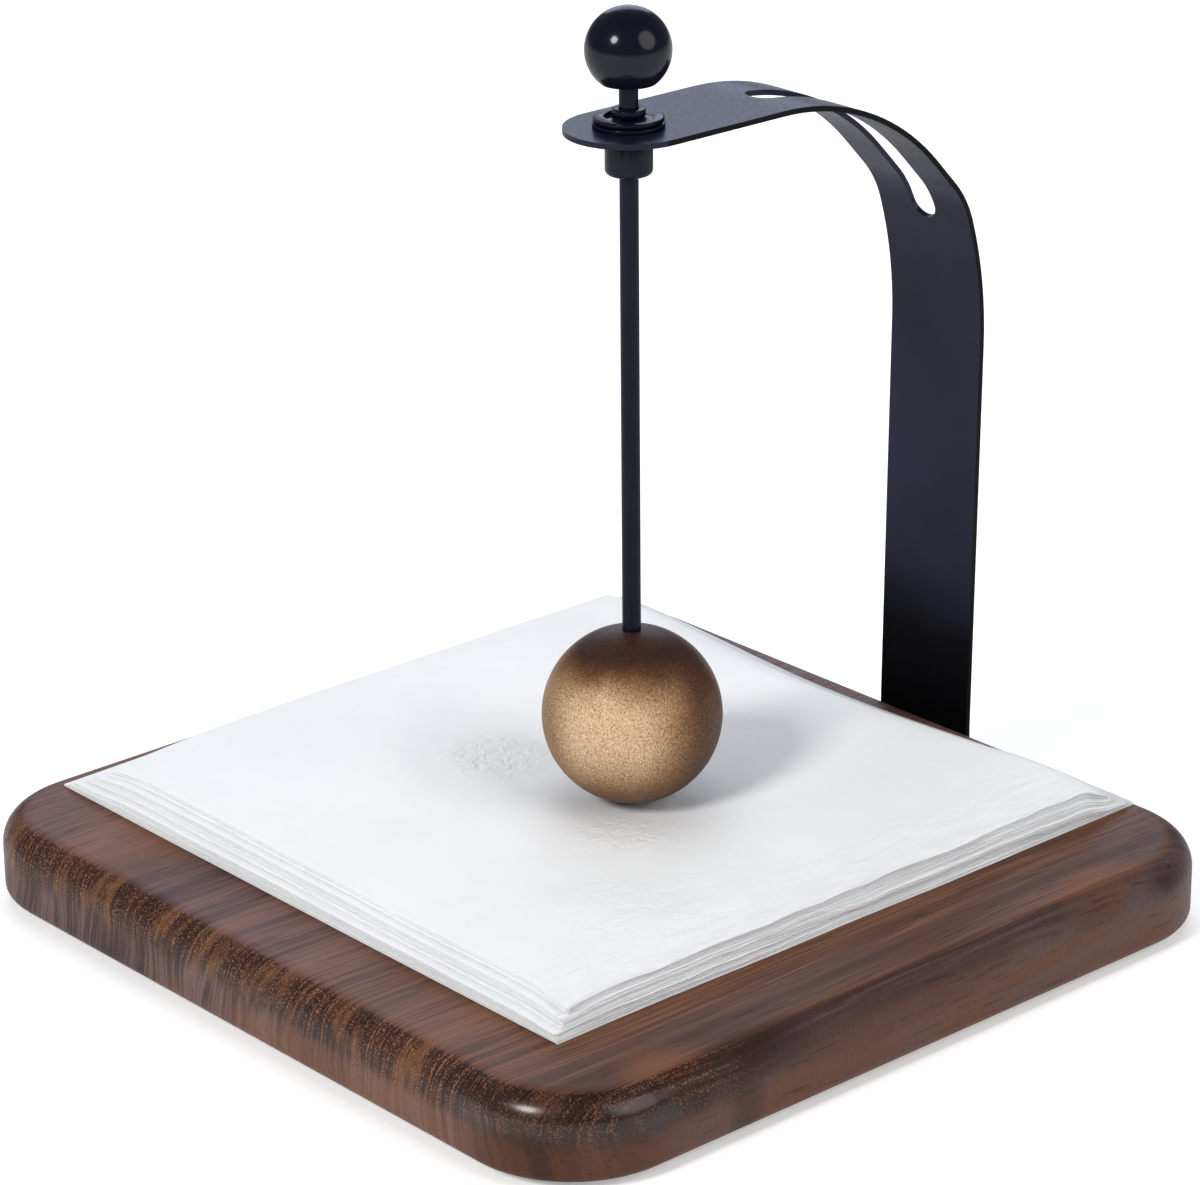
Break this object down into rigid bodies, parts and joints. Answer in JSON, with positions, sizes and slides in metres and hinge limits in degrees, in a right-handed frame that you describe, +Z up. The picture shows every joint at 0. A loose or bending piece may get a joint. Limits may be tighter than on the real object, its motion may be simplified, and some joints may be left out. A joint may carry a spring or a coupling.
{
  "type": "napkin holder",
  "caption": "Square wooden board with a bent flat metal arm; a rod slides in the arm and its heavy ball holds down a stack of folded paper napkins.",
  "frame": {"origin": "on the surface the pads stand on, under the middle of the whole holder", "axes": "+Z up; +Y from the front edge to the back edge, where the arm stands; +X to the right seen from the front"},
  "size_m": [0.2, 0.1962, 0.1989],
  "materials": {
    "walnut": "satin lacquer",
    "arm_lacquer": "gloss black lacquer",
    "screw_steel": "plain zinc",
    "pad_rubber": "matte",
    "guide_black": "gloss black",
    "rod_black": "gloss black",
    "ball_paint": "speckled antique gold shading to dark brown, satin",
    "knob_gloss": "gloss black",
    "insert_brass": "plain",
    "napkin_paper": "soft matte"
  },
  "bodies": {
    "holder": {"base_board": "walnut", "support_arm": "arm_lacquer", "arm_screws": "screw_steel", "pad_front_left": "pad_rubber", "pad_front_right": "pad_rubber", "pad_back_left": "pad_rubber", "pad_back_right": "pad_rubber", "arm_washer": "guide_black", "napkin_1": "napkin_paper", "napkin_2": "napkin_paper", "napkin_3": "napkin_paper", "napkin_4": "napkin_paper", "napkin_5": "napkin_paper", "napkin_6": "napkin_paper", "napkin_7": "napkin_paper", "napkin_8": "napkin_paper"},
    "guide": {"guide_bushing": "guide_black", "retaining_clip": "guide_black"},
    "presser": {"press_rod": "rod_black", "press_ball": "ball_paint", "grip_knob": "knob_gloss", "knob_insert": "insert_brass"}
  },
  "joints": [
    {"name": "guide_turn", "type": "hinge", "parent": "holder", "child": "guide", "pos_m": [0.0047, 0.0061, 0.1732], "axis": [0, 0, 1], "continuous": true},
    {"name": "press_slide", "type": "slide", "parent": "guide", "child": "presser", "axis": [0, 0, 1], "range_m": [0, 0.1]}
  ]
}
